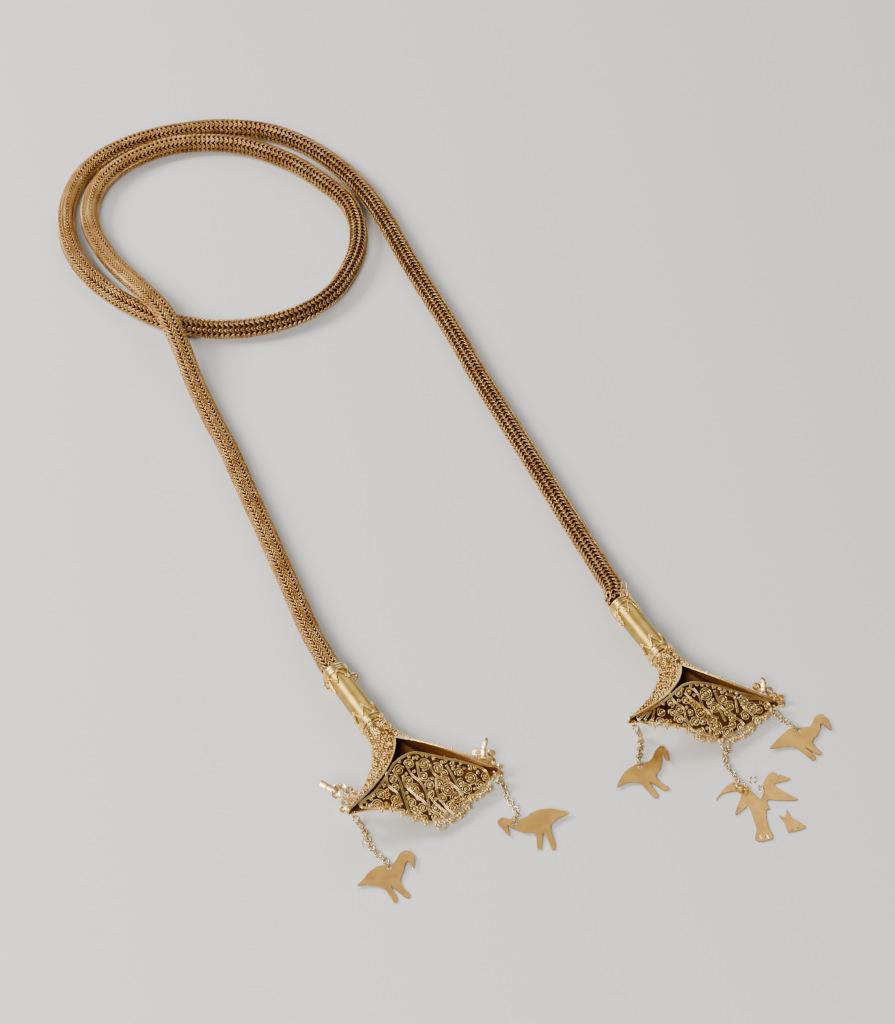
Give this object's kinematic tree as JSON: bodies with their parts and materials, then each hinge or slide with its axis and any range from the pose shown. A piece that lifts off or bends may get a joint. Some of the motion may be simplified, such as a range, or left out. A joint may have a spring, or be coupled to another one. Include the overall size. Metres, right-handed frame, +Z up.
{
  "type": "ceremonial necklace",
  "caption": "Long woven gold chain with a filigree-filled trumpet at each end, hung with link chains and cut-out birds, laid out in a loop.",
  "frame": {"origin": "on the surface it lies on, under the middle of the box around everything but the woven chain", "axes": "+X from the left trumpet towards the right one as laid out, +Y from the trumpets towards the chain's loop, +Z up"},
  "size_m": [0.2612, 0.3738, 0.0152],
  "materials": {
    "woven_gold": "woven wire, worn bright on the ridges",
    "polished_gold": "hand-polished sheet",
    "filigree_gold": "soldered wire and granules",
    "sheet_gold": "matt cut sheet",
    "link_gold": "drawn wire links"
  },
  "bodies": {
    "root": {"woven_chain": "woven_gold", "left_ferrule": "polished_gold", "left_waist_ring": "filigree_gold", "left_trumpet": "polished_gold", "left_filigree_panel": "filigree_gold", "left_outer_finial": "filigree_gold", "left_inner_finial": "filigree_gold", "left_outer_chain": "link_gold", "left_inner_chain": "link_gold", "left_outer_bird": "sheet_gold", "left_inner_bird": "sheet_gold", "right_ferrule": "polished_gold", "right_waist_ring": "filigree_gold", "right_trumpet": "polished_gold", "right_filigree_panel": "filigree_gold", "right_outer_finial": "filigree_gold", "right_inner_chain": "link_gold", "right_outer_chain": "link_gold", "right_middle_chain": "link_gold", "right_inner_bird": "sheet_gold", "right_outer_bird": "sheet_gold", "two_headed_bird_plaque": "sheet_gold", "loose_tail_fragment": "sheet_gold"}
  },
  "joints": []
}
